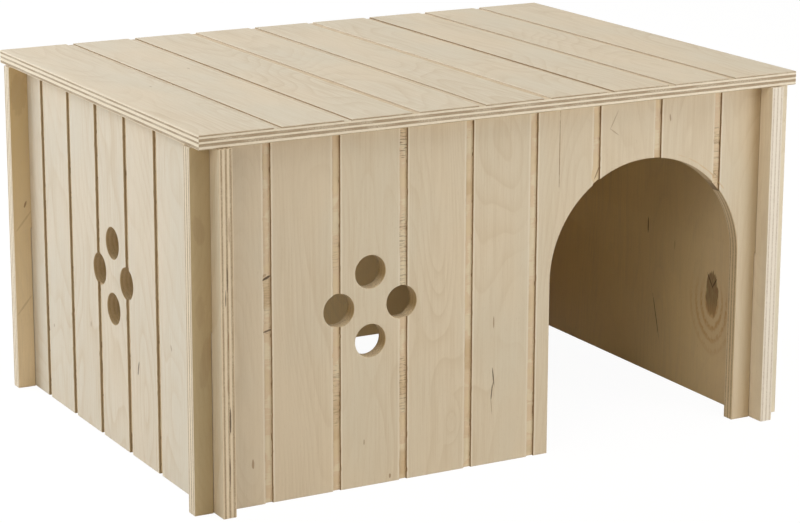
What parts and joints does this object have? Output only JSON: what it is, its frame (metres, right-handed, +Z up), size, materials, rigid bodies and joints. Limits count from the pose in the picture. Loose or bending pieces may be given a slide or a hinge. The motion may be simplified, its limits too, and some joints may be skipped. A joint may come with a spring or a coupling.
{
  "type": "hamster house",
  "caption": "Flat-roofed plywood house for a hamster or other small pet, with plank grooves, an arched door, round vent holes and a lift-off roof.",
  "frame": {"origin": "on the ground, under the middle of the house", "axes": "+X along the front wall towards the door end, +Y to the rear, +Z up"},
  "size_m": [0.435, 0.33, 0.238],
  "materials": {
    "plywood": "bare sanded birch plywood with plies showing at the edges",
    "batten_wood": "bare planed softwood"
  },
  "bodies": {
    "walls": {"front_wall": "plywood", "rear_wall": "plywood", "left_wall": "plywood", "right_wall": "plywood"},
    "roof": {"roof": "plywood", "roof_batten_left": "batten_wood", "roof_batten_right": "batten_wood"}
  },
  "joints": [
    {"name": "roof_lift", "type": "slide", "parent": "walls", "child": "roof", "axis": [0, 0, 1], "range_m": [0, 0.12]}
  ]
}
